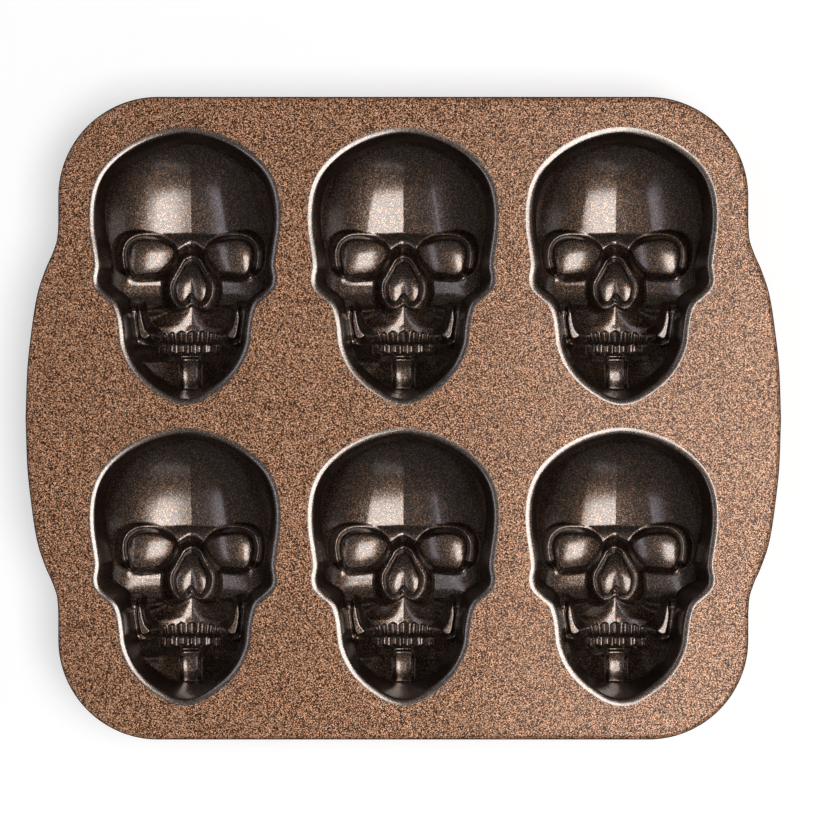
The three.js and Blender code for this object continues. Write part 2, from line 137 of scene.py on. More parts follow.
# Half outlines from the top down, mirrored to whole ones
RIM = [
    (0, 62.2), (12.7, 60), (23, 55.6), (31, 50), (37, 43.5), (40.6, 36), (42.3, 27), (42.2, 17), (40.9, 8),
    (40.1, 1), (40.9, -4.5), (39.9, -9), (36.2, -13), (32.3, -16.4), (30.5, -21), (29.5, -27), (28.7, -34),
    (26.4, -40.5), (23.2, -46), (18.6, -51.1), (12.8, -55.6), (6.5, -59.2), (0, -60.6),
]
NOSE = [
    (0, 6.8), (3.2, 5.4), (5.3, 2), (7.4, -1.6), (9.2, -5.2), (9.3, -9), (8, -13), (5.4, -15.6),
    (2.4, -15.4), (0, -14),
]

# Whole outlines on the right-hand side of the face
SOCKET = [
    (5.9, 9.4), (8.2, 12.9), (12.5, 15.4), (18.5, 16.5), (24.5, 16), (28.6, 13.2), (30.2, 9), (29.8, 3.6),
    (28.4, -0.6), (25.6, -2.9), (19, -3.1), (13, -2.2), (9, 1), (6.5, 5),
]
SLIT = [
    (22.4, -16.6), (23.3, -20.5), (22.9, -25), (21.4, -30.6), (19.6, -31.2), (16.9, -29.4), (19.1, -26.2),
    (20.3, -22.4), (21, -18.6),
]

# Relief of the face.
# A table is a list of (place, value) stations, by v unless its comment says by s.
# A fade is (where it is nothing, where it is full).
# A bend is (start, slope, blend): past its start the surface turns by its slope, over its blend.

# Crease down the middle of the whole face
CREASE_SLOPE = 0.095
CREASE_REACH = 10
CREASE_DEPTH = CREASE_REACH * CREASE_SLOPE
CREASE_CROWN_FADE = (56, 40)
CREASE_SIDE_FADE = (46, 30)

# Cranium, with a crease from each side of the brow towards the crown
DOME_DEPTH = 32.2
DOME_HALF_WIDTH = 44.8
DOME_HALF_LENGTH = 53.4
DOME_START = 12
DOME_POWER = 2.2
TEMPLE_PLACE = 16.9
TEMPLE_BASE = 17
TEMPLE_SLANT = 0.17
TEMPLE_DROP = 0.55
TEMPLE_REACH = 7
TEMPLE_FADE = (46, 34)
TEMPLE_BEND = (0, 1, 0.8)

# Brow: its lower edge by s, the step down to the cheeks, and the hollow between the brows
BROW_EDGE = [(0, 18), (3, 17.9), (10, 17.6), (17, 17.6), (40, 17.6)]
BROW_FADE = (-14, 0)
GLABELLA_BEND = (0.2, 0.5, 0.5)
GLABELLA_DROP = 2.3
GLABELLA_BLEND = 1.5
GLABELLA_SIDE_FADE = (17, 12)
GLABELLA_LOW_FADE = (2, 8)

# Cheeks: a flat facet with a ledge under the socket, cut by the side of the head
CHEEK_DEPTH = 30.6
CHEEK_RISE = 0.15
CHEEK_LEVEL = -5
CHEEK_OUT_BEND = (12, 0.25, 3)
CHEEK_DOWN_BEND = (11, 0.25, 2)
CHEEK_SIDE_EXTRA = 0.4
CHEEK_BLEND = 2
LEDGE_SLOPE = 0.3
LEDGE_START = -6
LEDGE_HEIGHT = 3
LEDGE_INNER_FADE = (11.5, 13.5)
LEDGE_OUTER_FADE = (29, 26.5)

# Jaws: depth down the middle, plain and with the bite, and the round of the section across
CHIN_LINE = [(-62, 27.4), (-53.6, 27.9), (-47, 28.5)]
PLAIN_LINE = [(-40, 29.7), (-33.5, 31.4), (-29.5, 32.6)]
BITE_LINE = [(-40, 28.9), (-38.3, 29.4), (-37.2, 31), (-33.4, 30.7), (-32.6, 32.6), (-29.5, 33.1)]
LIP_LINE = [(-26, 33.3), (-20, 33.0), (-14, 32.8), (-4, 32)]
BITE_FADE = (15, 10)
PHILTRUM_DEPTH = 0.35
PHILTRUM_WIDTH = 2.2
PHILTRUM_FADE = (-23.3, -26)
JAW_ROUNDING = [
    (-62, 2), (-42, 2), (-38, 9), (-34, 14), (-29, 22), (-26, 20), (-23, 10), (-20.2, 4.4), (-17.5, 2),
    (-14, 0.8), (-4, 3),
]
JAW_SLOPE = [
    (-62, 0.6), (-46, 0.62), (-40, 0.72), (-34, 0.85), (-26, 0.8), (-20, 0.6), (-14, 0.7), (-4, 0.9),
]
JAW_TOP = -6
JAW_TOP_SLOPE = 1.5
JAW_FADE = (-15, -19)
JAW_BLEND = 1.5

# Nose: raised edge, bridge, and a hollow with a mound of two lobes and a notch under them
NOSE_EDGE_DEPTH = 34.4
NOSE_EDGE_FALL = (0.95, 0.05)
NOSE_EDGE_LIFT = [(-16, -0.8), (-11, 0), (2, 0.3), (8, 1)]
NOSE_EDGE_BLEND = 1.2
BRIDGE_LINE = [(0, 36), (6, 36), (9, 34), (12, 31.2), (14.2, 29.4), (18.7, 25)]
BRIDGE_SLOPE = 1.3
BRIDGE_ROUNDING = 2.8
BRIDGE_LOW_SLOPE = 2.5
BRIDGE_TOP = 16
BRIDGE_TOP_SLOPE = 3
BRIDGE_BLEND = 1.6
LOBE_PLACE = [(-14, 4.4), (-9, 4.4), (-3, 2.6), (3, 0.8), (6, 0)]
MOUND_DEPTH = 28.0
MOUND_LEVEL = -8
MOUND_CURVES = (22, 40)
NOTCH_DEPTH = 2.2
NOTCH_WIDTH = 1.5
NOTCH_FADE = (-6, -12)
NOTCH_EDGE_FADE = (0, -1.5)
NOSE_SIDE = (2.8, 0.7, 1.4)

# Eye sockets: raised edge by s, and a hollow with a ball in it
SOCKET_EDGE_LINE = [
    (0, 28.2), (6, 28.4), (9, 29.4), (12, 30.2), (17, 30.2), (22, 29.8), (27, 29.3), (31, 28.6), (36, 27),
]
SOCKET_EDGE_SLOPE = 1.7
SOCKET_EDGE_ROUNDING = 1.2
SOCKET_EDGE_CURVE = 0.12
SOCKET_EDGE_DROP = 4
SOCKET_EDGE_FADE = (2, -5)
SOCKET_EDGE_BLEND = 2.2
BALL_DEPTH = 22.2
BALL_PLACE = (22.5, 6.6)
BALL_CURVES = (62, 46)
BALL_TWIST = 0.006
BALL_OUTER_START = 24
BALL_OUTER_CURVE = 0.03
SOCKET_SLOPE = 3.2
SOCKET_CREST = [(-4, 1.6), (1, 1.3), (8, 0.9)]
SOCKET_CREST_FADE = (2, 15)
SOCKET_CREST_LEAST = 0.2
SOCKET_FOOT = 2.4

# Jaw branches beside the mouth: the cheek's underside by s, the gap behind the branch, and its slit
UNDER_CHEEK = [(17, -18.2), (20.2, -17.3), (24.3, -16.1), (30.2, -15.6), (36, -10.6), (39.3, -4.8), (43, 0)]
BRANCH_DEPTH = 19.5
BRANCH_CHEEK_BEND = (0, 2.4, 1.2)
BRANCH_CHIN_BEND = (30, 0.75, 3)
BRANCH_MOUTH_BEND = (-21.5, 2.6, 1.2)
BRANCH_BLEND = 1.5
SLIT_DEPTH = 16.6
SLIT_BEND = (0, 3.4, 1)
SLIT_BLEND = 0.8

# Teeth: places along the mouth where two of them meet, the gum line by s, heights and ends
UPPER_GAPS = [-13.2, -10.4, -6.9, -2.6, 2.6, 6.9, 10.4, 13.2]
LOWER_GAPS = [-14, -11.5, -6.35, -1.5, 1.5, 6.35, 11.5, 14]
UPPER_HEIGHT = 1.7
LOWER_HEIGHT = 1.5
UPPER_FAN = 0.0128
MOUTH_LEVEL = -32
GUM_LINE = [
    (0, -26.4), (2.6, -27.2), (4.8, -26.6), (6.9, -27.6), (8.7, -27.2), (10.4, -28.2), (11.9, -27.9),
    (14, -29),
]
GUM_FADE = (0, -0.8)
UPPER_END_FADE = (-32.9, -32.1)
LOWER_TOP_FADE = (-33, -33.6)
LOWER_END_FADE = (-37.3, -36.5)
BITE_DEPTH = 0.5
BITE_LEVEL = -32.9
BITE_WIDTH = 0.5
BITE_SIDE_FADE = (15, 13.5)

# Plate on the chin
PLATE_SIDE_FADE = (5.4, 3.4)
PLATE_TOP_FADE = (-38.2, -40.4)
PLATE_END_FADE = (-54.8, -52.8)
PLATE_DEPTH = 28.4
PLATE_FLAT = 1.1
PLATE_CURVE = 0.065
PLATE_LEVEL = -47
PLATE_ROUND = 32

# Coatings: colours of the flakes from the darkest to the brightest
DECK_COLOURS = [
    (0.0, (0.014, 0.005, 0.002)), (0.5, (0.06, 0.022, 0.008)), (0.62, (0.14, 0.056, 0.023)),
    (0.78, (0.72, 0.37, 0.205)), (1.0, (1.0, 0.62, 0.42)),
]
CUP_COLOURS = [
    (0.0, (0.006, 0.005, 0.004)), (0.5, (0.016, 0.01, 0.007)), (0.8, (0.1, 0.053, 0.031)),
    (1.0, (0.42, 0.23, 0.13)),
]
# Painted shade: near-black flakes for the lower bands of the plate's rounded edge, standing in for the shade
# along the edge
EDGE_SHADE_COLOURS = [
    (0.0, (0.005, 0.003, 0.002)), (0.5, (0.02, 0.011, 0.007)), (0.75, (0.08, 0.043, 0.027)),
    (1.0, (0.2, 0.11, 0.068)),
]
FLAKES_PER_METRE = 3500
BUMPS_PER_METRE = 2400
BUMP_HEIGHT = 0.00003

# Studio, in metres. Lamps: name, place, aim, size, brightness as seen where 1 is white, and colour.
FLOOR_RADIUS = 6.0
FLOOR_SIDES = 96
FLOOR_DROP = 0.0001
FLOOR_COLOUR = (0.6, 0.61, 0.62)
FLOOR_ROUGHNESS = 0.9
FLOOR_SHOWN = 0.525
CAMERA_PLACE = (0.0043, 0.0023)
CAMERA_HEIGHT = 1.0
LENS = 98.5
SENSOR = 36
WORLD_COLOUR = (0.12, 0.12, 0.12)
LAMPS = [
    ("key", (0.84, -0.33, 2.4), (0.84, -0.33, 0), (1.32, 1.56), 7.4, (1, 0.97, 0.94)),
    ("overhead", (0, 0, 2.5), (0, 0, 0), (2.8, 2.8), 0.14, (1, 0.96, 0.92)),
    ("strip", (-1.46, -0.1, 2.4), (0, -0.1, 0), (0.36, 2.6), 2.4, (0.86, 0.86, 1)),
    ("front", (0.7, -2.5, 2.4), (0.2, 0, 0), (1.6, 0.34), 0.9, (0.95, 0.95, 1)),
    ("side", (3.2, 0, 0.9), (0, 0, 0), (2, 1.2), 0.6, (1, 0.97, 0.94)),
]


# Curves and blends
def mirrored(half):
    return list(half) + [(-x, y) for x, y in reversed(half[1:-1])]


def curve_through(points, steps):
    """A closed centripetal Catmull-Rom curve through the points."""
    p = np.array(points, float)
    curve = []
    for i in range(len(p)):
        p0, p1, p2, p3 = (p[(i + k) % len(p)] for k in (-1, 0, 1, 2))
        t0, t1, t2 = (math.sqrt(np.linalg.norm(b - a)) for a, b in ((p0, p1), (p1, p2), (p2, p3)))
        m1 = (p2 - p1) + t1 * ((p1 - p0) / t0 - (p2 - p0) / (t0 + t1))
        m2 = (p2 - p1) + t1 * ((p3 - p2) / t2 - (p3 - p1) / (t1 + t2))
        for t in np.arange(steps) / steps:
            far = t * t * (3 - 2 * t)
            near = 1 - far
            curve.append(near * p1 + far * p2 + t * (1 - t) ** 2 * m1 - t * t * (1 - t) * m2)
    return np.array(curve)


def distance_to(outline, u, v):
    """Distance to a closed outline, negative inside it."""
    nearest = np.full(np.shape(u), np.inf)
    inside = np.zeros(np.shape(u), bool)
    for (ax, ay), (bx, by) in zip(outline, np.roll(outline, -1, axis=0)):
        dx, dy = bx - ax, by - ay
        share = np.clip(((u - ax) * dx + (v - ay) * dy) / (dx * dx + dy * dy), 0, 1)
        nearest = np.minimum(nearest, (u - ax - share * dx) ** 2 + (v - ay - share * dy) ** 2)
        if dy != 0:
            inside ^= ((ay > v) != (by > v)) & (u < ax + (v - ay) * dx / dy)
    return np.sqrt(nearest) * np.where(inside, -1, 1)


def lesser(a, b, blend):
    """The lesser of two surfaces, with the corner between them rounded."""
    reach = np.maximum(blend - np.abs(a - b), 0) / blend
    return np.minimum(a, b) - reach * reach * blend / 4


def greater(a, b, blend):
    """The greater of two surfaces, with the corner between them rounded."""
    return -lesser(-a, -b, blend)


def beyond(x, start):
    return np.maximum(x - start, 0)


def bend(x, start, slope, blend):
    """Nothing up to the start and a steady slope past it, with a soft corner."""
    return slope * greater(x - start, 0 * x, blend)


def ramp(start, end, x):
    share = np.clip((x - start) / (end - start), 0, 1)
    return share * share * (3 - 2 * share)


def along(x, stations):
    """A smooth run through (place, value) stations, without overshoot."""
    places, values = np.array(sorted(stations), float).T
    width = np.diff(places)
    rate = np.diff(values) / width
    slope = np.concatenate([rate[:1], np.zeros(len(rate) - 1), rate[-1:]])
    steady = rate[:-1] * rate[1:] > 0
    slope[1:-1][steady] = (2 * rate[:-1] * rate[1:])[steady] / (rate[:-1] + rate[1:])[steady]
    x = np.clip(x, places[0], places[-1])
    i = np.clip(np.searchsorted(places, x) - 1, 0, len(width) - 1)
    t = (x - places[i]) / width[i]
    rise = t * t * (3 - 2 * t)
    turn = t * (1 - t) ** 2 * slope[i] - t * t * (1 - t) * slope[i + 1]
    return values[i] * (1 - rise) + values[i + 1] * rise + turn * width[i]


def roof(x, rounding):
    return np.sqrt(x * x + rounding * rounding) - rounding


def bell(x, width):
    return np.exp(-(x / width) ** 2)


def pocket(base, floor, away, slope, crest, foot):
    """Raises a floor inside an outline, with a sloped side all round it."""
    side = base + slope * lesser(away, 0 * away, crest)
    blend = 0.05 + foot * ramp(0.5, -2.5, away)
    return np.where(away < crest, greater(floor, side, blend), base)


rim_curve = curve_through(mirrored(RIM), 8)
nose_curve = curve_through(mirrored(NOSE), 5)
socket_curve = curve_through(SOCKET, 6)
slit_curve = curve_through(SLIT, 5)


# Face
def middle_crease(s):
    return CREASE_DEPTH * (1 - np.exp(-s / CREASE_REACH))


def cranium(s, v):
    """Forehead and top of the head, with a crease down the middle and one towards each temple."""
    reach = (s / DOME_HALF_WIDTH) ** DOME_POWER + (beyond(v, DOME_START) / DOME_HALF_LENGTH) ** DOME_POWER
    dome = DOME_DEPTH * np.sqrt(np.maximum(1 - reach, 0))
    dome = dome - middle_crease(s) * ramp(*CREASE_CROWN_FADE, v) * ramp(*CREASE_SIDE_FADE, s)
    past = bend(s - (TEMPLE_PLACE - TEMPLE_SLANT * (v - TEMPLE_BASE)), *TEMPLE_BEND)
    return dome - TEMPLE_DROP * (1 - np.exp(-past / TEMPLE_REACH)) * ramp(*TEMPLE_FADE, v)


def cheek(s, v):
    """Flat slopes beside the nose that meet the sides of the head."""
    facet = CHEEK_DEPTH - bend(s, *CHEEK_OUT_BEND)
    facet = facet + CHEEK_RISE * (v - CHEEK_LEVEL) - bend(-v, *CHEEK_DOWN_BEND)
    ledge = np.clip(v - LEDGE_START, 0, LEDGE_HEIGHT)
    ledge = ledge * ramp(*LEDGE_INNER_FADE, s) * ramp(*LEDGE_OUTER_FADE, s)
    side = DOME_DEPTH * np.sqrt(np.maximum(1 - (s / DOME_HALF_WIDTH) ** DOME_POWER, 0)) + CHEEK_SIDE_EXTRA
    return lesser(facet - LEDGE_SLOPE * ledge, side, CHEEK_BLEND)


def brow_and_cheeks(s, v):
    """The cranium down to the brow's lower edge, then the cheeks and the hollow between the brows."""
    over = v - along(s, BROW_EDGE)
    face = cheek(s, v)
    dome = cranium(s, v)
    glabella = greater(dome - bend(-over, *GLABELLA_BEND), dome - GLABELLA_DROP, GLABELLA_BLEND)
    lower = face + (dome - face) * ramp(*BROW_FADE, over)
    hollow = np.minimum(lower, glabella) - lower
    lower = lower + hollow * ramp(*GLABELLA_SIDE_FADE, s) * ramp(*GLABELLA_LOW_FADE, v)
    return np.where(over > 0, dome, lower)


def jaws(u, v):
    """Upper jaw, mouth and chin as one long mass down the middle."""
    s = np.abs(u)
    plain = along(v, CHIN_LINE + PLAIN_LINE + LIP_LINE)
    bitten = along(v, CHIN_LINE + BITE_LINE + LIP_LINE)
    crest = plain + (bitten - plain) * ramp(*BITE_FADE, s)
    crest = crest - PHILTRUM_DEPTH * ramp(*PHILTRUM_FADE, v) * bell(u, PHILTRUM_WIDTH)
    across = along(v, JAW_SLOPE) * roof(u, along(v, JAW_ROUNDING))
    return crest - across - middle_crease(s) - JAW_TOP_SLOPE * beyond(v, JAW_TOP)


def with_nose_edge(depth, u, v, to_nose):
    out = np.maximum(to_nose, 0)
    straight, curved = NOSE_EDGE_FALL
    edge_line = NOSE_EDGE_DEPTH - straight * out - curved * out ** 2 + along(v, NOSE_EDGE_LIFT)
    depth = greater(depth, edge_line, NOSE_EDGE_BLEND)
    bridge = along(v, BRIDGE_LINE) - BRIDGE_SLOPE * roof(u, BRIDGE_ROUNDING)
    bridge = bridge - BRIDGE_LOW_SLOPE * beyond(-v, 0) - BRIDGE_TOP_SLOPE * beyond(v, BRIDGE_TOP)
    return greater(depth, bridge, BRIDGE_BLEND)


def with_socket_edge(depth, s, v, to_socket):
    out = np.maximum(to_socket, 0)
    edge_line = along(s, SOCKET_EDGE_LINE) - SOCKET_EDGE_SLOPE * roof(out, SOCKET_EDGE_ROUNDING)
    edge_line = edge_line - SOCKET_EDGE_CURVE * out ** 2 - SOCKET_EDGE_DROP * ramp(*SOCKET_EDGE_FADE, v)
    return greater(depth, edge_line, SOCKET_EDGE_BLEND)


def with_jaw_branches(depth, s, v):
    """Steps down outside the mouth, leaving a branch of the jaw with a slit in it."""
    branch = BRANCH_DEPTH + bend(v - along(s, UNDER_CHEEK), *BRANCH_CHEEK_BEND)
    branch = branch + bend(-v, *BRANCH_CHIN_BEND) + bend(-s, *BRANCH_MOUTH_BEND)
    depth = lesser(depth, branch, BRANCH_BLEND)
    to_slit = distance_to(slit_curve, s, v)
    return lesser(depth, SLIT_DEPTH + bend(to_slit, *SLIT_BEND), SLIT_BLEND)


def with_nose_hollow(depth, u, v, to_nose):
    wide, tall = MOUND_CURVES
    mound = MOUND_DEPTH + (np.abs(u) - along(v, LOBE_PLACE)) ** 2 / wide + (v - MOUND_LEVEL) ** 2 / tall
    notch = NOTCH_DEPTH * bell(u, NOTCH_WIDTH) * ramp(*NOTCH_FADE, v)
    return pocket(depth, mound, to_nose + notch * ramp(*NOTCH_EDGE_FADE, to_nose), *NOSE_SIDE)


def with_eye_hollow(depth, s, v, to_socket):
    across, up = s - BALL_PLACE[0], v - BALL_PLACE[1]
    ball = BALL_DEPTH + across ** 2 / BALL_CURVES[0] + up ** 2 / BALL_CURVES[1] + BALL_TWIST * across * up
    ball = ball + BALL_OUTER_CURVE * beyond(s, BALL_OUTER_START) ** 2
    crest = along(v, SOCKET_CREST) * ramp(*SOCKET_CREST_FADE, s) + SOCKET_CREST_LEAST
    return pocket(depth, ball, to_socket, SOCKET_SLOPE, crest, SOCKET_FOOT)


def head(u, v):
    """Depth of the face without its teeth, chin plate and wall."""
    s = np.abs(u)
    to_nose = distance_to(nose_curve, u, v)
    to_socket = distance_to(socket_curve, s, v)
    depth = brow_and_cheeks(s, v)
    jaw = jaws(u, v)
    below = ramp(*JAW_FADE, v)
    depth = greater(depth * (1 - below) + below * np.minimum(depth, jaw), jaw, JAW_BLEND)
    depth = with_nose_edge(depth, u, v, to_nose)
    depth = with_socket_edge(depth, s, v, to_socket)
    depth = with_jaw_branches(depth, s, v)
    depth = with_nose_hollow(depth, u, v, to_nose)
    return with_eye_hollow(depth, s, v, to_socket)


def tooth_row(u, gaps, height):
    """Rounded crowns between neighbouring gaps."""
    row = np.zeros_like(u)
    for a, b in zip(gaps[:-1], gaps[1:]):
        x = np.clip((u - (a + b) / 2) / ((b - a) / 2), -1, 1)
        row += height * (0.5 + 0.5 * np.cos(np.pi * x))
    return row


def teeth(u, v):
    s = np.abs(u)
    fanned = u / (1 + UPPER_FAN * (v - MOUTH_LEVEL))
    upper = tooth_row(fanned, UPPER_GAPS, UPPER_HEIGHT) * ramp(*GUM_FADE, v - along(s, GUM_LINE))
    upper = upper * ramp(*UPPER_END_FADE, v)
    lower = tooth_row(u, LOWER_GAPS, LOWER_HEIGHT) * ramp(*LOWER_TOP_FADE, v) * ramp(*LOWER_END_FADE, v)
    return upper + lower - BITE_DEPTH * bell(v - BITE_LEVEL, BITE_WIDTH) * ramp(*BITE_SIDE_FADE, s)


def with_chin_plate(depth, u, v):
    s = np.abs(u)
    share = ramp(*PLATE_SIDE_FADE, s) * ramp(*PLATE_TOP_FADE, v) * ramp(*PLATE_END_FADE, v)
    plate = PLATE_DEPTH - PLATE_CURVE * beyond(s, PLATE_FLAT) ** 2 + (v - PLATE_LEVEL) ** 2 / PLATE_ROUND
    return depth + share * (plate - depth)


def wall(inset):
    """Depth of the cavity's side at a distance in from the rim's top: a gentle roll, then a tight bend."""
    roll = np.clip(inset, 0, RIM_ROLL) ** 2 * math.tan(RIM_TILT) / (2 * RIM_ROLL)
    start, end = math.sin(RIM_TILT), math.cos(WALL_DRAFT)
    reach = np.clip(start + (inset - RIM_ROLL) / RIM_ROUNDING, start, end)
    turn = RIM_ROUNDING * (math.cos(RIM_TILT) - np.sqrt(1 - reach ** 2))
    foot = RIM_ROLL + RIM_ROUNDING * (end - start)
    return roll + turn + beyond(inset, foot) / math.tan(WALL_DRAFT)


def cavity_depth(u, v, inset):
    face = with_chin_plate(head(u, v) + teeth(u, v), u, v)
    side = wall(inset)
    return lesser(side, face, np.clip(0.9 * side, 0.02, FACE_BLEND))


# Underside of a cup
def blurred(field, sigma):
    reach = int(3 * sigma)
    kernel = np.exp(-np.arange(-reach, reach + 1) ** 2 / (2 * sigma * sigma))
    kernel = kernel / kernel.sum()
    for axis in (0, 1):
        padded = np.pad(field, [(reach, reach) if a == axis else (0, 0) for a in (0, 1)], mode="edge")
        field = np.apply_along_axis(np.convolve, axis, padded, kernel, "valid")
    return field


def widened(field, reach):
    """The greatest depth within a reach of each grid point."""
    wide = field.copy()
    for dy in range(-reach, reach + 1):
        for dx in range(-reach, reach + 1):
            if 0 < dx * dx + dy * dy <= reach * reach:
                wide = np.maximum(wide, np.roll(field, (dy, dx), axis=(0, 1)))
    return wide


def shell_relief():
    """The cavity's depth on a 1 mm grid, with its relief softened and one wall lower."""
    us = np.arange(-SHELL_HALF_WIDTH, SHELL_HALF_WIDTH + 1.0)
    vs = np.arange(-SHELL_HALF_LENGTH, SHELL_HALF_LENGTH + 1.0)
    u, v = np.meshgrid(us, vs)
    return blurred(widened(head(u, v), SHELL_WIDENING), SHELL_SOFTENING) + CUP_WALL


shell_grid = shell_relief()


def shell_depth(u, v, outset):
    """Depth of the cup's outside; outset is how far a place lies outside the rim."""
    x, y = u + SHELL_HALF_WIDTH, v + SHELL_HALF_LENGTH
    i = np.clip(x.astype(int), 0, 2 * SHELL_HALF_WIDTH - 1)
    j = np.clip(y.astype(int), 0, 2 * SHELL_HALF_LENGTH - 1)
    a, b = x - i, y - j
    low = shell_grid[j, i] * (1 - a) + shell_grid[j, i + 1] * a
    high = shell_grid[j + 1, i] * (1 - a) + shell_grid[j + 1, i + 1] * a
    relief = low * (1 - b) + high * b
    foot_away = np.hypot((u - FOOT_CENTRE[0]) / FOOT_SIZE[0], (v - FOOT_CENTRE[1]) / FOOT_SIZE[1])
    foot = TOP + FOOT_EXTRA + FOOT_FLARE * (1 - foot_away) * FOOT_SIZE[0]
    relief = lesser(greater(relief, foot, FOOT_BLEND), TOP, FOOT_EDGE)
    side = TOP - UNDERSIDE + beyond(SHELL_ROOT - outset, 0) / math.tan(WALL_DRAFT)
    return lesser(side, relief, SHELL_BLEND)


def top_height(u, v):
    """Height of a cup's top side: the flat collar, and the cavity inside the rim."""
    inset = RIM_START - distance_to(rim_curve, u, v)
    return TOP - np.where(inset > 0, cavity_depth(u, v, np.maximum(inset, 0)), 0)


def under_height(u, v):
    """Height of a cup's underside: flat under the collar, and the shell inside it."""
    outset = distance_to(rim_curve, u, v)
    shell = np.minimum(TOP - shell_depth(u, v, outset), UNDERSIDE)
    return np.where(outset > SHELL_ROOT, UNDERSIDE, shell)


# Meshes
def spaced(curve, count):
    """Points at even distances along a closed curve."""
    closed = np.vstack([curve, curve[:1]])
    length = np.concatenate([[0], np.cumsum(np.hypot(*np.diff(closed, axis=0).T))])
    place = np.linspace(0, length[-1], count, endpoint=False)
    return np.stack([np.interp(place, length, axis) for axis in closed.T], axis=1)


def outward(outline):
    """Unit normals of a closed outline that runs either way round."""
    way = np.roll(outline, -1, axis=0) - np.roll(outline, 1, axis=0)
    normal = np.stack([way[:, 1], -way[:, 0]], axis=1) / np.hypot(*way.T)[:, None]
    return normal * np.sign(np.sum(normal * (outline - outline.mean(axis=0))))


def inward(outline, distance):
    return outline - distance * outward(outline)


def level(outline, z):
    return np.column_stack([outline, np.full(len(outline), z)])


def band(a, b, count):
    """Four-sided faces between two closed loops whose first points are numbers a and b."""
    j = np.arange(count)
    after = (j + 1) % count
    return np.stack([a + j, a + after, b + after, b + j], axis=1).tolist()


def fan(a, hub, count):
    """Triangles between a closed loop whose first point is number a and a hub."""
    j = np.arange(count)
    return np.stack([a + j, a + (j + 1) % count, np.full(count, hub)], axis=1).tolist()


def loft(start, loops, count):
    """Faces that join closed loops one to the next."""
    faces = []
    for number in range(loops - 1):
        faces += band(start + number * count, start + (number + 1) * count, count)
    return faces


def finish_mesh(mesh, materials, sharp):
    """Turns the faces outwards, smooths edges up to an angle in degrees and adds the materials."""
    shape = bmesh.new()
    shape.from_mesh(mesh)
    bmesh.ops.recalc_face_normals(shape, faces=shape.faces)
    shape.to_mesh(mesh)
    shape.free()
    mesh.shade_smooth()
    mesh.set_sharp_from_angle(angle=math.radians(sharp))
    for material in materials:
        mesh.materials.append(material)


def add_object(name, data):
    thing = bpy.data.objects.new(name, data)
    bpy.context.scene.collection.objects.link(thing)
    return thing


def make_piece(name, points, faces, materials, sharp):
    """A mesh object from points in millimetres."""
    mesh = bpy.data.meshes.new(name)
    mesh.from_pydata((np.asarray(points) * MM).tolist(), [], faces)
    finish_mesh(mesh, materials, sharp)
    return add_object(name, mesh)


def stand_for(piece, node):
    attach(piece, "root")
    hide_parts(node)


# Materials
def shader(name):
    material = bpy.data.materials.new(name)
    material.use_nodes = True
    nodes = material.node_tree.nodes
    return material, nodes, material.node_tree.links, nodes["Principled BSDF"]


def colours(nodes, links, source, stops):
    node = nodes.new("ShaderNodeValToRGB")
    ramp_stops = node.color_ramp.elements
    while len(ramp_stops) < len(stops):
        ramp_stops.new(0.5)
    for stop, (place, colour) in zip(ramp_stops, stops):
        stop.position = place
        stop.color = (*colour, 1)
    links.new(source, node.inputs["Fac"])
    return node.outputs["Color"]


def flakes(nodes, links, place):
    """A random number for each small cell of the coating."""
    cells = nodes.new("ShaderNodeTexVoronoi")
    cells.inputs["Scale"].default_value = FLAKES_PER_METRE
    links.new(place.outputs["Object"], cells.inputs["Vector"])
    parts = nodes.new("ShaderNodeSeparateColor")
    links.new(cells.outputs["Color"], parts.inputs["Color"])
    return parts.outputs["Red"]


def bumps(nodes, links, place, strength):
    """A normal that fine noise lifts."""
    noise = nodes.new("ShaderNodeTexNoise")
    noise.inputs["Scale"].default_value = BUMPS_PER_METRE
    noise.inputs["Detail"].default_value = 1.0
    links.new(place.outputs["Object"], noise.inputs["Vector"])
    lift = nodes.new("ShaderNodeBump")
    lift.inputs["Strength"].default_value = strength
    lift.inputs["Distance"].default_value = BUMP_HEIGHT
    links.new(noise.outputs["Fac"], lift.inputs["Height"])
    return lift.outputs["Normal"]


def bronze(name, stops, roughness, metal, shine, coat_index, coat_roughness, bump):
    """Bronze non-stick coating: fine flakes in a dark ground, under a clear top.

    roughness is that of the darkest and of the brightest flakes.
    """
    material, nodes, links, surface = shader(name)
    place = nodes.new("ShaderNodeTexCoord")
    flake = flakes(nodes, links, place)
    links.new(colours(nodes, links, flake, stops), surface.inputs["Base Color"])
    rough_stops = [(at, (value,) * 3) for at, value in enumerate(roughness)]
    links.new(colours(nodes, links, flake, rough_stops), surface.inputs["Roughness"])
    surface.inputs["Metallic"].default_value = metal
    surface.inputs["Specular IOR Level"].default_value = shine
    surface.inputs["Coat Weight"].default_value = 1.0
    surface.inputs["Coat IOR"].default_value = coat_index
    surface.inputs["Coat Roughness"].default_value = coat_roughness
    links.new(bumps(nodes, links, place, bump), surface.inputs["Normal"])
    return material


deck_finish = bronze(
    "deck_bronze", DECK_COLOURS, roughness=(0.45, 0.35), metal=0.15, shine=0.05,
    coat_index=1.22, coat_roughness=0.19, bump=0.6)
# Painted shade line on the plate's rounded edge: a dark matte copy of the bronze, not a separate coating
edge_shade_finish = bronze(
    "edge_painted_shade", EDGE_SHADE_COLOURS, roughness=(0.6, 0.5), metal=0.0, shine=0.0,
    coat_index=1.0, coat_roughness=0.3, bump=0.4)
cup_finish = bronze(
    "cup_bronze", CUP_COLOURS, roughness=(0.42, 0.36), metal=1.0, shine=0.5,
    coat_index=1.72, coat_roughness=0.19, bump=0.4)
rim_finish = bronze(
    "rim_bronze", CUP_COLOURS, roughness=(0.38, 0.33), metal=1.0, shine=0.5,
    coat_index=2.05, coat_roughness=0.2, bump=0.35)


# Cups
rim_points = spaced(rim_curve, SPOKES)
rim_normals = outward(rim_points)
collar = rim_points + CUP_COLLAR * rim_normals


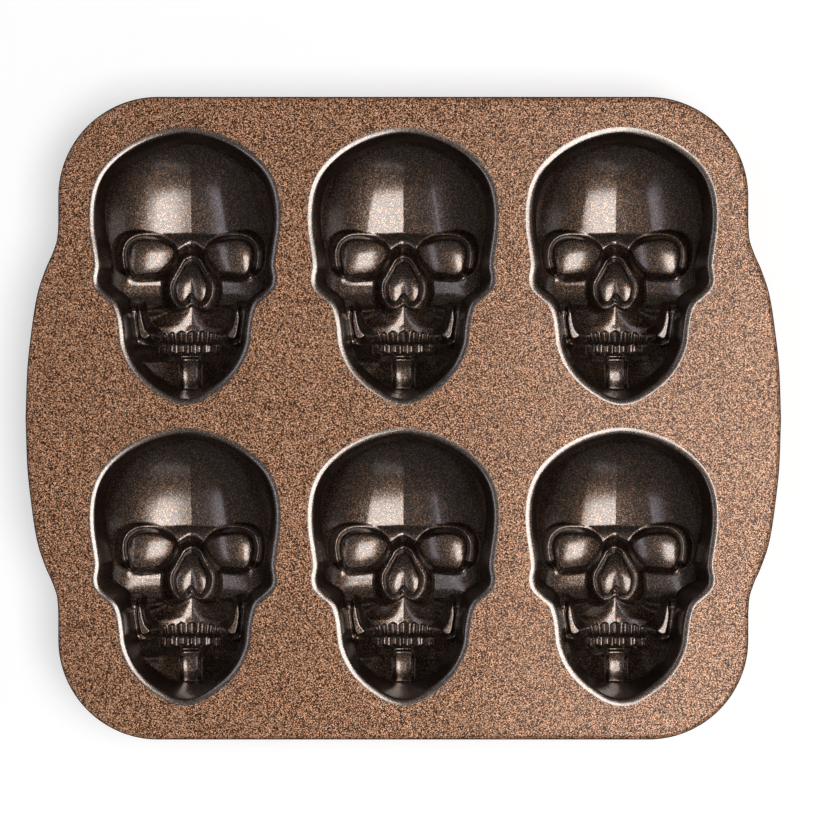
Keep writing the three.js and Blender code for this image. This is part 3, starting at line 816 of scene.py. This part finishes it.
def rings_inside(insets, count):
    """Rings beside the rim, then rings that shrink to the hub."""
    near = [rim_points - inset * rim_normals for inset in insets]
    shares = np.linspace(0, 1, count + 1)[1:-1]
    return np.array(near + [near[-1] + (HUB - near[-1]) * share for share in shares])


def cup_surface():
    """Points, faces and finish numbers of a cup, closed at the collar's seam."""
    points = []
    hubs = []
    for insets, count, height in (
            (INNER_INSETS, FACE_RINGS, top_height), (OUTER_INSETS, SHELL_RINGS, under_height)):
        rings = rings_inside(insets, count)
        z = height(rings[..., 0], rings[..., 1])
        points.append(np.concatenate([rings, z[..., None]], axis=2).reshape(-1, 3))
        hubs.append([*HUB, height(HUB[:1], HUB[1:])[0]])
    inner, outer = (len(part) // SPOKES for part in points)
    outside = inner * SPOKES
    top_hub = (inner + outer) * SPOKES

    faces = loft(0, inner, SPOKES) + loft(outside, outer, SPOKES) + band(0, outside, SPOKES)
    faces += fan(outside - SPOKES, top_hub, SPOKES) + fan(top_hub - SPOKES, top_hub + 1, SPOKES)
    cavity_bands = inner - 1 - COLLAR_BANDS - RIM_BANDS
    bands = [DECK] * COLLAR_BANDS + [RIM_FINISH] * RIM_BANDS + [CUP] * cavity_bands
    bands += [DECK] * (outer - 1) + [DECK, CUP, DECK]
    return np.concatenate([*points, hubs]), faces, np.repeat(bands, SPOKES)


def cup_centres():
    """Where the origin of each skull lies on the pan."""
    middle = (RIM[0][1] + RIM[-1][1]) / 2
    centres = []
    for node in CUP_NODES:
        low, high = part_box(node)
        centres.append(np.array([(low[0] + high[0]) / 2 / MM, (low[1] + high[1]) / 2 / MM - middle]))
    return centres


def build_cups():
    """One cup, and moved copies of its mesh."""
    points, faces, finishes = cup_surface()
    centres = cup_centres()
    names = [node.replace("skull_cup", "cast_cup") for node in CUP_NODES]
    placed = points + np.array([*centres[0], 0])
    first = make_piece(names[0], placed, faces, [cup_finish, deck_finish, rim_finish], sharp=60)
    first.data.polygons.foreach_set("material_index", finishes)
    stand_for(first, CUP_NODES[0])
    places = np.empty(len(points) * 3)
    first.data.vertices.foreach_get("co", places)
    for name, node, centre in zip(names[1:], CUP_NODES[1:], centres[1:]):
        mesh = first.data.copy()
        mesh.name = name
        step = np.tile(np.array([*(centre - centres[0]), 0]) * MM, len(points))
        mesh.vertices.foreach_set("co", places + step)
        mesh.update()
        stand_for(add_object(name, mesh), node)


# Plate and rib
def pan_edge():
    """The pan's outline from above, right half first, then its mirror image."""
    half_width = PAN_WIDTH / 2 - HANDLE_REACH
    half_length = PAN_LENGTH / 2
    y = np.linspace(-HANDLE_SPAN / 2, HANDLE_SPAN / 2, HANDLE_STEPS)
    reach = HANDLE_REACH * along(np.abs(y) / (HANDLE_SPAN / 2), HANDLE_EDGE)
    side = np.stack([half_width + reach, y], axis=1)
    angle = np.linspace(0, math.pi / 2, CORNER_STEPS)
    corner = np.stack([half_width - CORNER_RADIUS * (1 - np.cos(angle)),
                       half_length - CORNER_RADIUS * (1 - np.sin(angle))], axis=1)
    below = (corner * [1, -1])[::-1]
    right = np.concatenate([below, side, corner])
    return np.concatenate([right, -right])


edge = pan_edge()


def sheet_with_holes(outline, holes, z):
    """Triangles of a flat sheet inside an outline and outside its holes."""
    loops = [outline, *holes]
    edges = []
    start = 0
    for loop in loops:
        count = len(loop)
        edges += [(start + i, start + (i + 1) % count) for i in range(count)]
        start += count
    corners = [Vector(p) for p in np.concatenate(loops)]
    found, _, triangles, *_ = delaunay_2d_cdt(corners, edges, [], 1, 1e-6, False)
    flat = np.array([tuple(p) for p in found])
    triangles = np.array(triangles)
    centre = flat[triangles].mean(axis=1)
    keep = distance_to(outline, centre[:, 0], centre[:, 1]) < 0
    for hole in holes:
        keep &= distance_to(hole, centre[:, 0], centre[:, 1]) > 0
    return level(flat, z), triangles[keep]


def plate_mesh():
    """The whole flat plate with its rounded edge and the holes that the cups fill."""
    rings = [level(edge, UNDERSIDE)]
    for angle in EDGE_ANGLES:
        inset, drop = EDGE_ROUNDING * (1 - math.cos(angle)), EDGE_ROUNDING * (1 - math.sin(angle))
        rings.append(level(inward(edge, inset), TOP - drop))
    flat_edge = inward(edge, EDGE_ROUNDING + FLAT_MARGIN)
    low_edge = inward(edge, LOW_MARGIN)
    rings.append(level(flat_edge, TOP))
    holes = [collar + centre for centre in cup_centres()]

    points = [*rings]
    faces = loft(0, len(rings), len(edge))
    start = len(rings) * len(edge)
    for outline, z in ((flat_edge, TOP), (low_edge, UNDERSIDE)):
        sheet_points, sheet_faces = sheet_with_holes(outline, holes, z)
        points.append(sheet_points)
        faces += (sheet_faces + start).tolist()
        start += len(sheet_points)
    points.append(level(low_edge, UNDERSIDE))
    faces += band(0, start, len(edge))
    start += len(edge)
    for hole in holes:
        points += [level(hole, TOP), level(hole, UNDERSIDE)]
        faces += band(start, start + len(hole), len(hole))
        start += 2 * len(hole)
    return np.concatenate(points), faces


def build_plate_part(name, node, sides):
    """Part of the plate between seams: sides are (x, keep) with keep +1 for what lies to the right."""
    points, faces = plate_mesh()
    shape = bmesh.new()
    vertices = [shape.verts.new(p * MM) for p in points]
    for number, face in enumerate(faces):
        made = shape.faces.new([vertices[i] for i in face])
        # Faces in the edge's shade-line bands get the painted edge shade
        made.material_index = int(number // len(edge) in SHADE_LINE_BANDS)
    bmesh.ops.remove_doubles(shape, verts=shape.verts, dist=1e-6)
    for x, keep in sides:
        geometry = [*shape.verts, *shape.edges, *shape.faces]
        cut = bmesh.ops.bisect_plane(
            shape, geom=geometry, dist=1e-7, clear_outer=True,
            plane_co=(x * MM, 0, 0), plane_no=(-keep, 0, 0))
        open_edges = [e for e in cut["geom_cut"] if isinstance(e, bmesh.types.BMEdge)]
        bmesh.ops.contextual_create(shape, geom=open_edges)
    mesh = bpy.data.meshes.new(name)
    shape.to_mesh(mesh)
    shape.free()
    finish_mesh(mesh, [deck_finish, edge_shade_finish], sharp=40)
    stand_for(add_object(name, mesh), node)


def build_rib():
    rings = [level(edge, UNDERSIDE)]
    for angle in RIB_ANGLES:
        inset, rise = RIB_ROUNDING * (1 - math.cos(angle)), RIB_ROUNDING * (1 - math.sin(angle))
        rings.append(level(inward(edge, inset), RIB_FOOT + rise))
    for angle in RIB_ANGLES[::-1]:
        inset, rise = RIB_ROUNDING * (1 - math.cos(angle)), RIB_ROUNDING * (1 - math.sin(angle))
        rings.append(level(inward(edge, RIB_WIDTH - inset), RIB_FOOT + rise))
    rings.append(level(inward(edge, RIB_WIDTH), UNDERSIDE))
    count = len(edge)
    faces = loft(0, len(rings), count) + band(0, (len(rings) - 1) * count, count)
    rib = make_piece("edge_rib_cast", np.concatenate(rings), faces, [deck_finish], sharp=50)
    stand_for(rib, "edge_rib")


build_cups()
build_plate_part("cast_deck", "deck_plate", [(-HANDLE_SEAM, 1), (HANDLE_SEAM, -1)])
build_plate_part("ear_handle_right", "handle_right", [(HANDLE_SEAM, 1)])
build_plate_part("ear_handle_left", "handle_left", [(-HANDLE_SEAM, -1)])
build_rib()


# Studio
def add_floor():
    """A flat disc that shows white to the camera and in reflections, and keeps the pan's shadow."""
    angle = np.arange(FLOOR_SIDES) * 2 * math.pi / FLOOR_SIDES
    ring = FLOOR_RADIUS * np.stack([np.cos(angle), np.sin(angle), 0 * angle], axis=1)
    mesh = bpy.data.meshes.new("floor")
    mesh.from_pydata([*ring.tolist(), (0, 0, 0)], [], fan(0, FLOOR_SIDES, FLOOR_SIDES))
    floor = add_object("floor", mesh)
    floor.location.z = -FLOOR_DROP
    material, nodes, links, surface = shader("floor_white")
    surface.inputs["Base Color"].default_value = (*FLOOR_COLOUR, 1)
    surface.inputs["Roughness"].default_value = FLOOR_ROUGHNESS
    surface.inputs["Emission Color"].default_value = (1, 1, 1, 1)
    rays = nodes.new("ShaderNodeLightPath")
    shown = rays.outputs["Is Camera Ray"]
    for kind in ("Is Glossy Ray", "Is Transmission Ray"):
        total = nodes.new("ShaderNodeMath")
        total.operation = "ADD"
        links.new(shown, total.inputs[0])
        links.new(rays.outputs[kind], total.inputs[1])
        shown = total.outputs[0]
    strength = nodes.new("ShaderNodeMath")
    strength.operation = "MULTIPLY"
    strength.inputs[1].default_value = FLOOR_SHOWN
    links.new(shown, strength.inputs[0])
    links.new(strength.outputs[0], surface.inputs["Emission Strength"])
    mesh.materials.append(material)


def add_camera():
    """Straight above the pan at the photograph's place, looking down."""
    lens = bpy.data.cameras.new("camera")
    lens.lens = LENS
    lens.sensor_width = SENSOR
    camera = add_object("camera", lens)
    camera.location = (*CAMERA_PLACE, TOP * MM + CAMERA_HEIGHT)
    bpy.context.scene.camera = camera


def light_world():
    world = bpy.data.worlds.new("studio")
    world.use_nodes = True
    world.node_tree.nodes["Background"].inputs["Color"].default_value = (*WORLD_COLOUR, 1)
    bpy.context.scene.world = world


def add_softbox(name, place, aim, size, brightness, colour):
    lamp = bpy.data.lights.new(name, "AREA")
    lamp.shape = "RECTANGLE"
    lamp.size, lamp.size_y = size
    lamp.energy = brightness * math.pi * size[0] * size[1]
    lamp.color = colour
    box = add_object(name, lamp)
    box.location = place
    back = (Vector(place) - Vector(aim)).normalized()
    side = Vector((0, 1, 0)).cross(back).normalized()
    box.rotation_euler = Matrix((side, back.cross(side), back)).transposed().to_euler()
    box.visible_camera = False


add_floor()
add_camera()
light_world()
for lamp_row in LAMPS:
    add_softbox(*lamp_row)
bpy.context.scene.view_settings.view_transform = "Standard"
